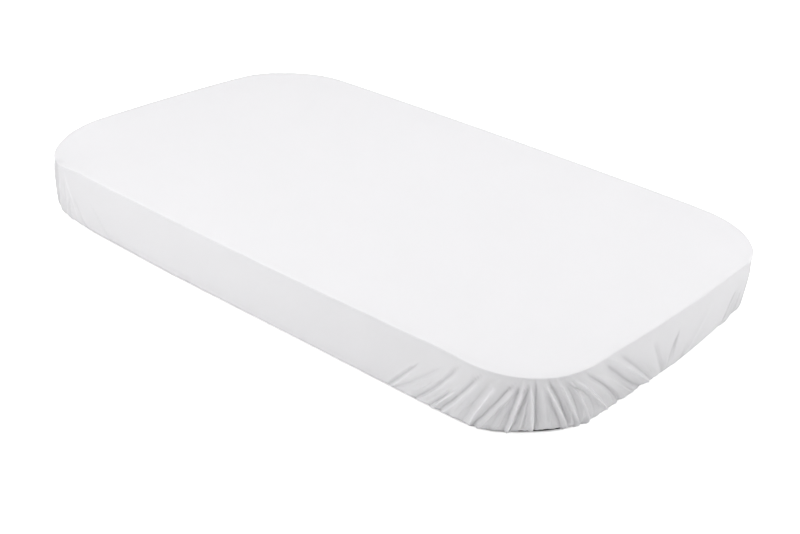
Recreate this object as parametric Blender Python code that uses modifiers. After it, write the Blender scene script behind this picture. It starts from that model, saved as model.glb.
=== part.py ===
"""A fitted sheet stretched over a small mattress, lying on its hem.

Metres, +Z up. +X runs along the length, and the origin is the middle of the box, on the
surface that the object rests on. Two measures place a point of the cloth: "along" follows
the rim from the middle of the nearest corner, anticlockwise seen from above, and "climb"
follows the cloth from where it leaves the surface it rests on, up the side to the top.
"""

import math

import bmesh
import bpy

MM = 0.001

# Driving sizes, outside the cloth
LENGTH = 830 * MM
WIDTH = 499 * MM
HEIGHT = 86 * MM
CORNER_RADIUS = 95.5 * MM
END_BOW = 12 * MM  # how far the middle of an end stands out past its corners
SIDE_BOW = 8 * MM
LOWER_ROUND = 24 * MM  # radius where the side turns under
UPPER_ROUND = 2.5 * MM
SIDE_LEAN = 3 * MM  # how much further in the side is at its foot than at its head

# The cloth, and the room that the mattress leaves it
CLOTH = 2 * MM
HEM_REACH = 40 * MM  # flat under the mattress
FLAT_GAP = 1 * MM
SIDE_GAP = 4 * MM

# How close together the columns stand
FOLD_STEP = 8 * MM
FOLD_EDGE = 10 * MM  # this far beyond the outermost folds the sides are plain
PLAIN_STEP = 70 * MM
MATTRESS_STEP = 32 * MM

CORNER_COLUMNS = ("name", "side_x", "side_y")
CORNER_ROWS = (("right", +1, +1), ("far", -1, +1), ("left", -1, -1), ("near", +1, -1))

# Where the elastic draws the top edge down and in, and the hem up, in millimetres.
PULL_COLUMNS = ("corner", "along", "reach", "sag", "draw", "lift")
PULL_ROWS = (
    ("near", 0, 105, 6.5, 0.0, 3.0),
    ("near", 18, 66, 0.0, 0.0, 6.5),
    ("near", -300, 260, 0.0, 0.0, 1.5),
    ("right", 0, 105, 2.5, 0.0, 0.0),
    ("right", 0, 200, 0.0, 0.0, 8.5),
    ("right", -55, 70, 0.0, 0.0, 3.0),
    ("far", 0, 105, 1.5, 0.0, 8.0),
    ("left", 0, 105, 9.5, 1.5, 6.0),
)

# Gathers, in millimetres: where the fold's line is along the rim at its foot and at its
# head, the climb at which it ends, its width, and how far it stands out, or sinks in where
# it is negative. Rows go in order along the rim.
FOLD_COLUMNS = ("foot", "head", "reach", "width", "stand")
FOOT_CLIMB = 30  # the climbs, in millimetres, of a line's foot and head
HEAD_CLIMB = 85
LINE_START = 15  # below and above these climbs the lines stand upright
LINE_END = 90
FOOT_STAND = 0.30  # a fold's share of its stand at its foot, where the hem is taut
FULL_STAND = 0.36  # the share of its reach at which it stands out most
FADE_SHARE = 0.50  # a fold fades over this last share of its reach
FOLD_ROWS = {
    "near": (
        (-163, -114, 76, 14, -2.0),
        (-145, -97, 80, 16, 0.9),
        (-126, -79, 96, 14, -2.4),
        (-111, -68, 90, 14, 0.9),
        (-95, -55, 102, 13, -2.8),
        (-83, -47, 94, 14, 1.2),
        (-68, -40, 96, 13, -1.6),
        (-58, -34, 98, 9, 2.6),
        (-50, -26, 100, 11, -2.8),
        (-38, -19, 90, 13, 1.8),
        (-26, -13, 100, 10, -2.2),
        (-17.5, -8, 101, 8, 3.0),
        (-9, -4, 96, 9, -2.2),
        (4, -0.5, 99, 9, 2.8),
        (11, 4, 101, 10, -2.6),
        (24, 9, 90, 12, 0.8),
        (33, 12.5, 86, 11, -1.8),
        (41, 16, 98, 8, 2.8),
        (48, 21, 102, 9, -2.6),
        (57, 28, 103, 9, 3.0),
        (64, 33, 96, 9, -2.0),
        (72, 40, 97, 10, 2.8),
        (84, 44, 92, 12, -1.6),
        (104, 50, 103, 12, 2.8),
        (127, 66, 102, 13, -2.8),
        (148, 79, 96, 18, 1.8),
        (166, 93, 97, 13, -3.0),
        (181, 105, 104, 14, 3.8),
        (191, 118, 99, 14, -2.4),
        (213, 172, 86, 16, -1.8),
    ),
    "right": (
        (-109, -79, 78, 12, -1.8),
        (-97, -70, 76, 11, 1.7),
        (-84, -58, 74, 12, -2.2),
        (-64, -42, 90, 14, 1.6),
        (-50, -32, 88, 12, -2.2),
        (-37, -22, 90, 11, 1.8),
        (-25, -14, 92, 11, -2.2),
        (-7, -4, 96, 13, 2.3),
        (3, 3, 94, 12, -2.4),
        (15, 9, 88, 12, 1.4),
        (26, 15, 90, 12, -1.7),
        (37, 22, 94, 12, 2.1),
        (48, 31, 94, 12, -2.4),
        (62, 40, 92, 13, 1.8),
        (76, 49, 92, 13, -2.2),
        (93, 60, 86, 15, 1.4),
        (109, 69, 84, 14, -1.9),
        (142, 92, 74, 14, -1.5),
    ),
    "far": (
        (-154, -107, 74, 14, -1.9),
        (-134, -90, 82, 14, 1.1),
        (-122, -81, 86, 13, -2.2),
        (-101, -64, 90, 15, 1.5),
        (-87, -51, 92, 14, -2.6),
        (-70, -42, 88, 13, 1.3),
        (-56, -35, 92, 12, 2.0),
        (-45, -27, 92, 12, -2.4),
        (-31, -19, 94, 11, 1.8),
        (-20, -12, 92, 11, -2.2),
        (-8, -3, 98, 12, 2.4),
        (3, 3, 94, 12, -2.5),
        (19, 11, 88, 13, 1.4),
        (35, 21, 96, 13, 2.2),
        (46, 29, 96, 12, -2.6),
        (61, 37, 94, 13, 1.8),
        (73, 45, 92, 13, -2.3),
        (92, 55, 90, 16, 1.6),
        (108, 66, 86, 14, -2.1),
        (141, 90, 80, 15, -1.9),
        (171, 122, 70, 14, -1.4),
    ),
    "left": (
        (-146, -98, 76, 14, -1.3),
        (-113, -75, 88, 14, -1.6),
        (-97, -61, 88, 14, 1.1),
        (-81, -51, 92, 14, -1.7),
        (-60, -39, 96, 13, 1.5),
        (-49, -31, 92, 12, -1.8),
        (-37, -22, 90, 12, 1.2),
        (-25, -14, 92, 12, -1.5),
        (-13, -6, 97, 11, 1.5),
        (-3, 1, 94, 11, -1.6),
        (12, 10, 94, 13, 1.3),
        (22, 20, 92, 11, -1.5),
        (33, 32, 94, 11, 1.1),
        (42, 44, 90, 10, -1.1),
        (50, 54, 86, 9, 1.6),
        (61, 64, 88, 11, -1.3),
        (73, 76, 84, 9, 1.2),
        (100, 88, 66, 12, -1.1),
        (150, 106, 70, 14, -0.9),
    ),
}

ARC = CORNER_RADIUS * math.pi / 2
HALF_END = WIDTH / 2 - CORNER_RADIUS
HALF_SIDE = LENGTH / 2 - CORNER_RADIUS
LOWER_CLIMB = LOWER_ROUND * math.pi / 2
SIDE_CLIMB = HEIGHT - LOWER_ROUND - UPPER_ROUND
UPPER_CLIMB = LOWER_CLIMB + SIDE_CLIMB
TOP_CLIMB = UPPER_CLIMB + UPPER_ROUND * math.pi / 2

CORNERS = [dict(zip(CORNER_COLUMNS, row)) for row in CORNER_ROWS]
FOLDS = {name: [dict(zip(FOLD_COLUMNS, row)) for row in rows] for name, rows in FOLD_ROWS.items()}


def eased(share):
    """0 to 1 with a soft start and end."""
    share = min(max(share, 0.0), 1.0)
    return share * share * (3 - 2 * share)


def rim_point(corner, along):
    """The rim's x and y, and the way out of it, on the corner's arc or the straights it joins."""
    turned = min(max(along, -ARC / 2), ARC / 2)
    middle = math.atan2(corner["side_y"], corner["side_x"])
    angle = middle + turned / CORNER_RADIUS
    out_x = math.cos(angle)
    out_y = math.sin(angle)
    past = along - turned
    x = corner["side_x"] * HALF_SIDE + CORNER_RADIUS * out_x - past * out_y
    y = corner["side_y"] * HALF_END + CORNER_RADIUS * out_y + past * out_x
    return x, y, out_x, out_y


def profile(climb):
    """How far in from the rim, and how high, the cloth is at this climb."""
    if climb < LOWER_CLIMB:
        turn = max(climb, 0) / LOWER_ROUND
        inset = SIDE_LEAN + LOWER_ROUND * (1 - math.sin(turn)) - min(climb, 0)
        return inset, LOWER_ROUND * (1 - math.cos(turn))
    side = min(climb - LOWER_CLIMB, SIDE_CLIMB)
    turn = max(climb - UPPER_CLIMB, 0) / UPPER_ROUND
    inset = SIDE_LEAN * (1 - side / SIDE_CLIMB) + UPPER_ROUND * (1 - math.cos(turn))
    return inset, LOWER_ROUND + side + UPPER_ROUND * math.sin(turn)


def fold_line(fold, climb):
    """Where a fold's line is along the rim at this climb."""
    level = min(max(climb / MM, LINE_START), LINE_END)
    risen = (level - FOOT_CLIMB) / (HEAD_CLIMB - FOOT_CLIMB)
    return (fold["foot"] + (fold["head"] - fold["foot"]) * risen) * MM


def gathers(corner, along, climb):
    """How far the folds move the cloth outwards here."""
    out = 0.0
    under = eased(1 + climb / HEM_REACH)
    for fold in FOLDS[corner["name"]]:
        risen = max(climb, 0) / (fold["reach"] * MM)
        across = (along - fold_line(fold, climb)) / (fold["width"] * MM / 2)
        swell = FOOT_STAND + (1 - FOOT_STAND) * eased(risen / FULL_STAND)
        fade = eased((1 - risen) / FADE_SHARE)
        out += fold["stand"] * MM * math.exp(-across * across) * swell * fade * under
    return out


def bowed(x, y):
    """The same point once the corners are drawn in, which leaves the sides bowed."""
    end = END_BOW * (2 * y / WIDTH) ** 2 * (2 * x / LENGTH)
    side = SIDE_BOW * (2 * x / LENGTH) ** 2 * (2 * y / WIDTH)
    return x - end, y - side


def pulled(x, y, z):
    """The point once the elastic has drawn the top edge down and in, and the hem up."""
    up = z / HEIGHT
    new_x, new_y, new_z = x, y, z
    for row in PULL_ROWS:
        pull = dict(zip(PULL_COLUMNS, row))
        corner = next(corner for corner in CORNERS if corner["name"] == pull["corner"])
        rim_x, rim_y, out_x, out_y = rim_point(corner, pull["along"] * MM)
        middle_x, middle_y = bowed(rim_x, rim_y)
        away = math.hypot(x - middle_x, y - middle_y) / (pull["reach"] * MM)
        strength = max(1 - away * away, 0) ** 2 * MM
        new_x -= strength * pull["draw"] * up * out_x
        new_y -= strength * pull["draw"] * up * out_y
        new_z += strength * (pull["lift"] * (1 - up) - pull["sag"] * up)
    return new_x, new_y, new_z


def side_point(corner, along, climb, skin):
    """A point this far inside the cloth's outer face, with no folds when it is well inside."""
    x, y, out_x, out_y = rim_point(corner, along)
    inset, z = profile(climb)
    out = gathers(corner, along, climb) if skin["folded"] else -skin["side_inset"]
    x, y = bowed(x + (out - inset) * out_x, y + (out - inset) * out_y)
    flat = skin["flat_inset"] * (1 - 2 * z / HEIGHT)
    x, y, z = pulled(x, y, z)
    return x, y, z + flat


def face_point(corner, along, climb, share, skin):
    """A point on the top or the underside, this share of the way to the middle line."""
    x, y, z = side_point(corner, along, climb, skin)
    middle_x = min(max(x, -(LENGTH - WIDTH) / 2), (LENGTH - WIDTH) / 2)
    x += (middle_x - x) * share
    y -= y * share
    level = HEIGHT if climb > 0 else 0
    flat = skin["flat_inset"] * (1 - 2 * level / HEIGHT)
    z = pulled(x, y, level)[2]
    return x, y, z + flat


def stretch(start, end, step):
    """Even stations from start up to but not including end."""
    count = max(round((end - start) / step), 1)
    return [start + (end - start) * i / count for i in range(count)]


def corner_ends(corner):
    """How far the corner's share of the rim reaches before and after its middle."""
    ends = (ARC / 2 + HALF_END, ARC / 2 + HALF_SIDE)
    return ends if corner["side_x"] * corner["side_y"] > 0 else ends[::-1]


def columns():
    """Corner and foot of each column, once round the rim: on every fold and between folds."""
    found = []
    for corner in CORNERS:
        before, after = corner_ends(corner)
        lines = [fold["foot"] * MM for fold in FOLDS[corner["name"]]]
        marks = [lines[0] - FOLD_EDGE] + lines + [lines[-1] + FOLD_EDGE]
        feet = stretch(-before, marks[0], PLAIN_STEP)
        for first, second in zip(marks, marks[1:]):
            feet += stretch(first, second, FOLD_STEP)
        feet += stretch(marks[-1], after, PLAIN_STEP)
        found += [(corner, foot) for foot in feet]
    return found


def leaned(column, climb):
    """Corner and place along the rim of a column here: it leans with the folds beside it."""
    corner, foot = column
    before, after = corner_ends(corner)
    knots = [(-before, -before)]
    knots += [(fold["foot"] * MM, fold_line(fold, climb)) for fold in FOLDS[corner["name"]]]
    knots += [(after, after)]
    for (low, low_along), (high, high_along) in zip(knots, knots[1:]):
        if foot <= high:
            return corner, low_along + (high_along - low_along) * (foot - low) / (high - low)
    return corner, foot


def lofted(name, rings, closed_below):
    """An object whose faces join each ring to the next, with the last ring filled."""
    mesh = bmesh.new()
    rows = [[mesh.verts.new(point) for point in ring] for ring in rings]
    for low, high in zip(rows, rows[1:]):
        for i in range(len(low)):
            mesh.faces.new((low[i - 1], low[i], high[i], high[i - 1]))
    mesh.faces.new(rows[-1])
    if closed_below:
        mesh.faces.new(reversed(rows[0]))
    data = bpy.data.meshes.new(name)
    mesh.to_mesh(data)
    mesh.free()
    return bpy.data.objects.new(name, data)


def finish(name, colour, roughness, sheen):
    material = bpy.data.materials.new(name)
    material.use_nodes = True
    shader = material.node_tree.nodes["Principled BSDF"]
    shader.inputs["Base Color"].default_value = (*colour, 1)
    shader.inputs["Roughness"].default_value = roughness
    shader.inputs["Metallic"].default_value = 0
    shader.inputs["Sheen Weight"].default_value = sheen
    return material


def fitted_sheet():
    """One cloth: flat under the mattress, round its lower edge, up the side and over the top."""
    skin = {"folded": True, "flat_inset": 0}
    climbs = [
        -HEM_REACH,
        0,
        LOWER_CLIMB / 2,
        LOWER_CLIMB,
        LOWER_CLIMB + SIDE_CLIMB / 2,
        UPPER_CLIMB,
        (UPPER_CLIMB + TOP_CLIMB) / 2,
        TOP_CLIMB,
    ]
    found = columns()
    rings = [[side_point(*leaned(column, climb), climb, skin) for column in found] for climb in climbs]
    top = [leaned(column, TOP_CLIMB) for column in found]
    for share in (0.10, 0.34):
        rings.append([face_point(*place, TOP_CLIMB, share, skin) for place in top])
    sheet = lofted("fitted_sheet", rings, closed_below=False)
    shell = sheet.modifiers.new("cloth thickness", "SOLIDIFY")
    shell.thickness = CLOTH
    shell.offset = -1
    return sheet


def mattress():
    """A plain pad that fills the sheet, soft enough for the corners to draw it in."""
    skin = {"folded": False, "side_inset": CLOTH + SIDE_GAP, "flat_inset": CLOTH + FLAT_GAP}
    places = []
    for corner in CORNERS:
        before, after = corner_ends(corner)
        places += [(corner, along) for along in stretch(-before, after, MATTRESS_STEP)]
    climbs = [0, LOWER_CLIMB / 2, LOWER_CLIMB, UPPER_CLIMB, TOP_CLIMB]
    rings = [[face_point(*place, 0, share, skin) for place in places] for share in (0.34, 0.10)]
    rings += [[side_point(*place, climb, skin) for place in places] for climb in climbs]
    rings += [
        [face_point(*place, TOP_CLIMB, share, skin) for place in places] for share in (0.10, 0.34)
    ]
    return lofted("mattress", rings, closed_below=True)


def main():
    for leftover in list(bpy.data.objects):
        bpy.data.objects.remove(leftover, do_unlink=True)
    parts = bpy.data.collections.new("fitted_sheet_on_mattress")
    bpy.context.scene.collection.children.link(parts)
    sheet = fitted_sheet()
    sheet.data.materials.append(finish("white_cotton", (0.86, 0.86, 0.88), 0.9, 0.2))
    pad = mattress()
    pad.data.materials.append(finish("mattress_ticking", (0.80, 0.79, 0.77), 0.95, 0.1))
    for piece in (sheet, pad):
        parts.objects.link(piece)


main()
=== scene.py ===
# %% [markdown]
# # A fitted sheet on a small mattress
#
# The object is one piece of plain white cotton with elastic in its hem. It is pulled over a
# small mattress with round corners, so that the top is smooth and tight, the sides hang
# straight, and the spare cloth at each corner is drawn into gathers. The hem lies flat under
# the mattress.
#
# The frame is the packed model: it says how large everything is and where it stands. The
# looks are built around it here, and nothing in the frame is moved.

# %% The frame
import math

import bmesh
import bpy
import numpy as np
from mathutils import Matrix, Vector


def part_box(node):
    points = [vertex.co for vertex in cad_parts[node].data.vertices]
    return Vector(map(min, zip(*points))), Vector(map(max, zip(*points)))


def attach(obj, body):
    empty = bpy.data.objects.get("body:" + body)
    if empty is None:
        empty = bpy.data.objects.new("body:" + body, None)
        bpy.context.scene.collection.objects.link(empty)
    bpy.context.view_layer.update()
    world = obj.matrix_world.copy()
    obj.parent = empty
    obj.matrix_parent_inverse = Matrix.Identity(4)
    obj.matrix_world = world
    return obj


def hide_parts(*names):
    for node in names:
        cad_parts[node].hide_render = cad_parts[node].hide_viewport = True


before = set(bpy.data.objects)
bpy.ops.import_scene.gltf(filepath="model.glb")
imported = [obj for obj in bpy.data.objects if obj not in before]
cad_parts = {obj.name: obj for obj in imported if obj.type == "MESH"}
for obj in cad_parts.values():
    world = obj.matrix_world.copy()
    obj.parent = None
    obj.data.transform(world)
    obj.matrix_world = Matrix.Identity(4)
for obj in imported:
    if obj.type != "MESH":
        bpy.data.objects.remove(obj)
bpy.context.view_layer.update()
MM = 0.001
sheet_low, sheet_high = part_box("fitted_sheet")
LENGTH = sheet_high.x - sheet_low.x
WIDTH = sheet_high.y - sheet_low.y
HEIGHT = sheet_high.z - sheet_low.z
print("nodes:", sorted(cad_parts))
print(f"the covered mattress is {LENGTH:.3f} x {WIDTH:.3f} x {HEIGHT:.3f} m")

# %% [markdown]
# ## The camera
#
# The photograph looks down on one corner from a little over a metre, with a lens a bit longer
# than normal, and the camera is turned a few degrees about its own axis. These values come
# from matching the outline and the top edge of a rounded slab of this size to the photograph.

# %% The camera
AIM = Vector((0.147, -0.145, HEIGHT))
CAMERA_AZIMUTH = math.radians(39.28)
CAMERA_HEIGHT_ANGLE = math.radians(27.44)
CAMERA_DISTANCE = 1.443
CAMERA_ROLL = math.radians(3.54)
LENS_MM = 59.76
NEAREST_SEEN = 0.01


def direction_at(azimuth, height_angle):
    """The way from the object to a viewer at this azimuth and height angle."""
    level = math.cos(height_angle)
    return Vector((
        math.sin(azimuth) * level,
        -math.cos(azimuth) * level,
        math.sin(height_angle),
    ))


def put_camera():
    camera = bpy.data.objects.new("camera", bpy.data.cameras.new("camera"))
    bpy.context.scene.collection.objects.link(camera)
    away = direction_at(CAMERA_AZIMUTH, CAMERA_HEIGHT_ANGLE)
    facing = (-away).to_track_quat("-Z", "Y").to_matrix().to_4x4()
    turned = facing @ Matrix.Rotation(CAMERA_ROLL, 4, "Z")
    camera.matrix_world = Matrix.Translation(AIM + away * CAMERA_DISTANCE) @ turned
    camera.data.lens = LENS_MM
    camera.data.clip_start = NEAREST_SEEN
    bpy.context.scene.camera = camera
    return camera


camera = put_camera()
print("camera at", [round(value, 3) for value in camera.matrix_world.translation])

# %% [markdown]
# ## Two measures on the cloth
#
# Every place on the side of the sheet is found with two measures. "Along" follows the rim
# from the middle of a corner, anticlockwise seen from above. "Climb" follows the cloth up
# from where it leaves the surface that it rests on: round the lower edge, up the side, and
# round the crisp upper edge. Climbs below nothing lie under the mattress.
#
# A lofted surface of such rings was chosen instead of a subdivided box, because gathers run
# up the side and fade out, and a fold is then one line in these two measures.

# %% The corners
CORNER_RADIUS = 95.5 * MM
ARC = CORNER_RADIUS * math.pi / 2
HALF_END = WIDTH / 2 - CORNER_RADIUS
HALF_SIDE = LENGTH / 2 - CORNER_RADIUS
TO_END = ARC / 2 + HALF_END
TO_SIDE = ARC / 2 + HALF_SIDE


def table(columns, rows):
    """Rows of values, each as a dict with the columns' names."""
    return [dict(zip(columns, row)) for row in rows]


CORNERS = table(
    ("name", "side_x", "side_y"),
    (("right", +1, +1), ("far", -1, +1), ("left", -1, -1), ("near", +1, -1)),
)


def corner_ends(corner):
    """How far the corner's share of the rim reaches before and after its middle."""
    ends = (TO_END, TO_SIDE)
    return ends if corner["side_x"] * corner["side_y"] > 0 else ends[::-1]


print(f"rim of {2 * (TO_END + TO_SIDE) * 2:.3f} m, a corner's round takes {ARC:.3f} m of it")

# %% The rim
END_BOW = 12 * MM  # how far the corners are drawn in, which leaves the short sides bowed
SIDE_BOW = 8 * MM  # and the long sides


def sideways(out):
    """The way along the rim, which is a quarter turn from the way out of it."""
    return np.stack([-out[..., 1], out[..., 0]], -1)


def rim_points(corner, along):
    """The rim's points, and the way out of it, at these distances from the corner's middle."""
    turned = np.clip(along, -ARC / 2, ARC / 2)
    angle = math.atan2(corner["side_y"], corner["side_x"]) + turned / CORNER_RADIUS
    out = np.stack([np.cos(angle), np.sin(angle)], -1)
    past = (along - turned)[..., None] * sideways(out)
    centre = np.array([corner["side_x"] * HALF_SIDE, corner["side_y"] * HALF_END])
    return centre + CORNER_RADIUS * out + past, out


def bowed(points):
    """The same points once the corners are drawn in."""
    x, y = points[..., 0], points[..., 1]
    end = END_BOW * (2 * y / WIDTH) ** 2 * (2 * x / LENGTH)
    side = SIDE_BOW * (2 * x / LENGTH) ** 2 * (2 * y / WIDTH)
    return np.stack([x - end, y - side], -1)


for corner in CORNERS:
    place = bowed(rim_points(corner, np.zeros(1))[0])[0]
    print(corner["name"], "corner's middle at", place.round(3))

# %% The section of the side
LOWER_ROUND = 24 * MM
UPPER_ROUND = 1.2 * MM
SIDE_LEAN = 3 * MM
HEM_REACH = 40 * MM
HEM_ROUND = 1.1 * MM  # the fold of the hem's turned edge
HEM_WIDTH = 12 * MM
LOWER_CLIMB = LOWER_ROUND * math.pi / 2
SIDE_CLIMB = HEIGHT - LOWER_ROUND - UPPER_ROUND
UPPER_CLIMB = LOWER_CLIMB + SIDE_CLIMB
TOP_CLIMB = UPPER_CLIMB + UPPER_ROUND * math.pi / 2
HEM_FOLD_END = -HEM_REACH - HEM_ROUND * math.pi
HEM_END = HEM_FOLD_END - HEM_WIDTH


def section(climb):
    """How far in from the rim, and how high, the cloth is at these climbs."""
    lower = np.clip(climb / LOWER_ROUND, 0, math.pi / 2)
    side = np.clip(climb - LOWER_CLIMB, 0, SIDE_CLIMB)
    upper = np.clip((climb - UPPER_CLIMB) / UPPER_ROUND, 0, math.pi / 2)
    under = np.clip(-climb, 0, HEM_REACH)
    fold = np.clip((-climb - HEM_REACH) / HEM_ROUND, 0, math.pi)
    back = np.clip(-climb - HEM_REACH - HEM_ROUND * math.pi, 0, HEM_WIDTH)
    inset = SIDE_LEAN * (1 - side / SIDE_CLIMB) + LOWER_ROUND * (1 - np.sin(lower))
    inset += UPPER_ROUND * (1 - np.cos(upper)) + under + HEM_ROUND * np.sin(fold) - back
    height = LOWER_ROUND * (1 - np.cos(lower)) + side + UPPER_ROUND * np.sin(upper)
    height += HEM_ROUND * (1 - np.cos(fold))
    return inset, height


print(f"from the floor to the top edge the cloth climbs {TOP_CLIMB / MM:.0f} mm")

# %% [markdown]
# ## The pull of the elastic
#
# The elastic draws the hem together like the string of a purse. Near a corner it drags the
# top edge down and a little in, and it lifts the hem off the surface. A cloth simulation
# could find such a pull, but the photograph shows how far each corner gives, so the pulls are
# stated here. Each is one row: strongest at its place on the rim, and gone at its reach.

# %% The pulls, in millimetres
PULLS = table(
    ("corner", "along", "reach", "sag", "draw", "lift"),
    (
        ("near", 0, 105, 6.5, 0.0, 3.0),
        ("near", 18, 66, 0.0, 0.0, 6.5),
        ("near", -300, 260, 0.0, 0.0, 1.5),
        ("right", 0, 105, 2.5, 0.0, 0.0),
        ("right", 0, 200, 0.0, 0.0, 8.5),
        ("right", -55, 70, 0.0, 0.0, 3.0),
        ("far", 0, 105, 1.5, 0.0, 8.0),
        ("left", 0, 105, 9.5, 1.5, 6.0),
    ),
)
CORNER_CALLED = {corner["name"]: corner for corner in CORNERS}


def pulled(points, height):
    """The places in space once the elastic has drawn the top edge down and in, and the hem up."""
    up = height / HEIGHT
    moved = np.concatenate([points[..., :2], height[..., None]], -1)
    for pull in PULLS:
        rim, out = rim_points(CORNER_CALLED[pull["corner"]], np.array([pull["along"] * MM]))
        away = np.linalg.norm(points[..., :2] - bowed(rim)[0], axis=-1) / (pull["reach"] * MM)
        strength = np.clip(1 - away * away, 0, None) ** 2 * MM
        moved[..., 2] += strength * (pull["lift"] * (1 - up) - pull["sag"] * up)
        moved[..., :2] -= (strength * pull["draw"] * up)[..., None] * out[0]
    return moved


for corner in CORNERS:
    middle = bowed(rim_points(corner, np.zeros(1))[0])
    lifted = pulled(middle, np.zeros(1))[0, 2]
    sagged = HEIGHT - pulled(middle, np.full(1, float(HEIGHT)))[0, 2]
    print(f"{corner['name']}: the hem lifts {lifted / MM:.1f} mm, the top edge sags {sagged / MM:.1f} mm")

# %% [markdown]
# ## The gathers
#
# Elastic shortens the hem, so spare cloth stands in folds that start at the hem and lose
# themselves before the top edge. At the corner they fan out from its upper end. Each fold is
# one row of a table, in millimetres:
#
# - foot and head: where its line is along the rim, low down and high up
# - start: the climb at which it begins, or 0 if it comes out from under the mattress
# - reach: the climb at which it ends
# - bend: how far its line bows to one side between foot and head
# - stand: how far its crest stands out, or with a minus how deep its tuck sinks in
# - before and after: its half width on the two sides of its line
#
# A simulated cloth would also gather, but not in these folds. They are placed one by one, so
# that every corner is uneven in its own way, as sewn gathers are.

# %% The folds at the near corner
FOLD_COLUMNS = ("foot", "head", "start", "reach", "bend", "stand", "before", "after")
FOLDS = {}
FOLDS["near"] = table(FOLD_COLUMNS, (
    (-163, -114, 0, 74, 0, -2.6, 1.5, 1.6),
    (-158, -110, 0, 70, 0, 1.0, 1.6, 3.0),
    (-154, -91, 0, 84, 2, -1.3, 1.5, 2.4),
    (-126.5, -79, 0, 98, 3.5, -2.8, 2.0, 2.2),
    (-121, -75, 0, 90, 3.5, 0.9, 1.6, 4.0),
    (-107, -57, 0, 60, 0, -1.8, 1.3, 1.3),
    (-102.5, -56, 0, 64, 0, 2.2, 1.4, 1.3),
    (-95.5, -55, 0, 100, 2.5, -3.6, 1.8, 2.0),
    (-90, -50, 0, 96, 2.5, 1.3, 1.6, 4.0),
    (-67, -40, 0, 96, 0, -1.8, 4.0, 2.6),
    (-58, -34, 0, 98, 0, 3.2, 1.4, 1.6),
    (-53.5, -20, 0, 98, 1.5, -3.6, 1.9, 2.0),
    (-45, -13.5, 0, 92, 0, 2.6, 2.6, 1.7),
    (-36, -15, 0, 66, 0, -1.5, 2.0, 2.0),
    (-22, -12, 0, 102, 0.5, -2.8, 2.2, 1.3),
    (-17.8, -8.2, 0, 101, 0, 3.8, 1.0, 1.1),
    (-15, -3.6, 0, 97, 0.6, -2.7, 1.2, 1.8),
    (-7, -3, 0, 74, 0, 1.6, 1.1, 1.0),
    (-3.5, -1.8, 0, 70, 0, -1.2, 0.9, 0.9),
    (5, -1.4, 0, 99, 0, 3.2, 1.3, 1.0),
    (8, 3.2, 0, 102, 0, -3.4, 1.0, 1.8),
    (18, 9, 0, 96, 0, 1.2, 2.0, 2.0),
    (35, 12, 0, 84, 0, -2.2, 3.0, 1.6),
    (40.5, 14.5, 0, 98, 0, 3.2, 1.2, 1.0),
    (43.2, 19, 0, 103, 0.8, -3.3, 1.1, 2.0),
    (47, 37, 0, 58, 0, 1.8, 0.9, 0.9),
    (56, 28, 0, 103, -1, 3.8, 1.1, 1.0),
    (60, 34, 0, 96, 1, -2.0, 1.3, 2.2),
    (63, 54, 0, 56, 0, 1.6, 0.9, 0.9),
    (71, 40, 0, 97, 0, 3.6, 1.0, 1.5),
    (82, 38, 54, 101, 8, -1.8, 1.8, 1.5),
    (90, 80, 0, 54, 0, 1.2, 0.9, 0.9),
    (103, 47.5, 34, 103, 0, 3.8, 1.1, 1.5),
    (127, 65.5, 0, 102, 2.5, -3.8, 2.6, 2.2),
    (150, 79, 36, 100, -1, 2.6, 7.0, 4.0),
    (166, 93.5, 26, 97, -2, -4.8, 3.2, 3.4),
    (181, 105, 36, 104, 3, 5.2, 5.0, 3.6),
    (188, 119, 34, 99, 1, -2.4, 2.6, 6.0),
    (213, 175, 36, 86, 0, -2.0, 5.0, 3.2),
    (217.5, 202, 36, 70, 0, 1.4, 3.0, 3.0),
    (221, 231, 36, 74, 0, -1.7, 3.0, 3.6),
))
print("folds at the near corner:", len(FOLDS["near"]))

# %% The folds at the right corner
FOLDS["right"] = table(FOLD_COLUMNS, (
    (-205, -200, 0, 48, 0, -1.6, 2.0, 2.0),
    (-201, -150, 0, 80, 0, 1.2, 7.0, 5.0),
    (-109, -79, 0, 72, 0, -2.0, 2.0, 1.6),
    (-97, -70, 0, 68, 0, 1.9, 2.6, 1.9),
    (-84, -58, 0, 62, 0, -2.6, 1.4, 2.4),
    (-64, -39, 0, 90, 0, 1.7, 2.5, 1.7),
    (-50, -30, 0, 88, 0, -2.7, 1.1, 2.7),
    (-35, -21, 0, 92, 0, 2.0, 2.5, 1.4),
    (-27, -14, 0, 94, 0, -2.7, 1.1, 2.7),
    (-6, -3, 0, 97, 0, 2.5, 2.2, 1.5),
    (2, 4, 0, 94, 0, -2.9, 1.0, 2.7),
    (15, 9, 0, 88, 0, 1.4, 2.5, 1.9),
    (25, 15, 0, 90, 0, -1.9, 1.5, 2.2),
    (37, 22, 0, 94, 0, 2.4, 2.5, 1.5),
    (47, 32, 0, 94, 0, -2.9, 1.1, 2.7),
    (62, 40, 0, 92, 0, 1.9, 3.0, 1.7),
    (74, 49, 0, 94, 0, -2.5, 2.5, 1.4),
    (93, 60, 0, 84, 0, 1.4, 3.0, 4.2),
    (108, 69, 0, 86, 0, -2.2, 2.5, 1.4),
    (142, 92, 0, 74, 0, -1.7, 2.0, 1.7),
))
print("folds at the right corner:", len(FOLDS["right"]))

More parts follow.
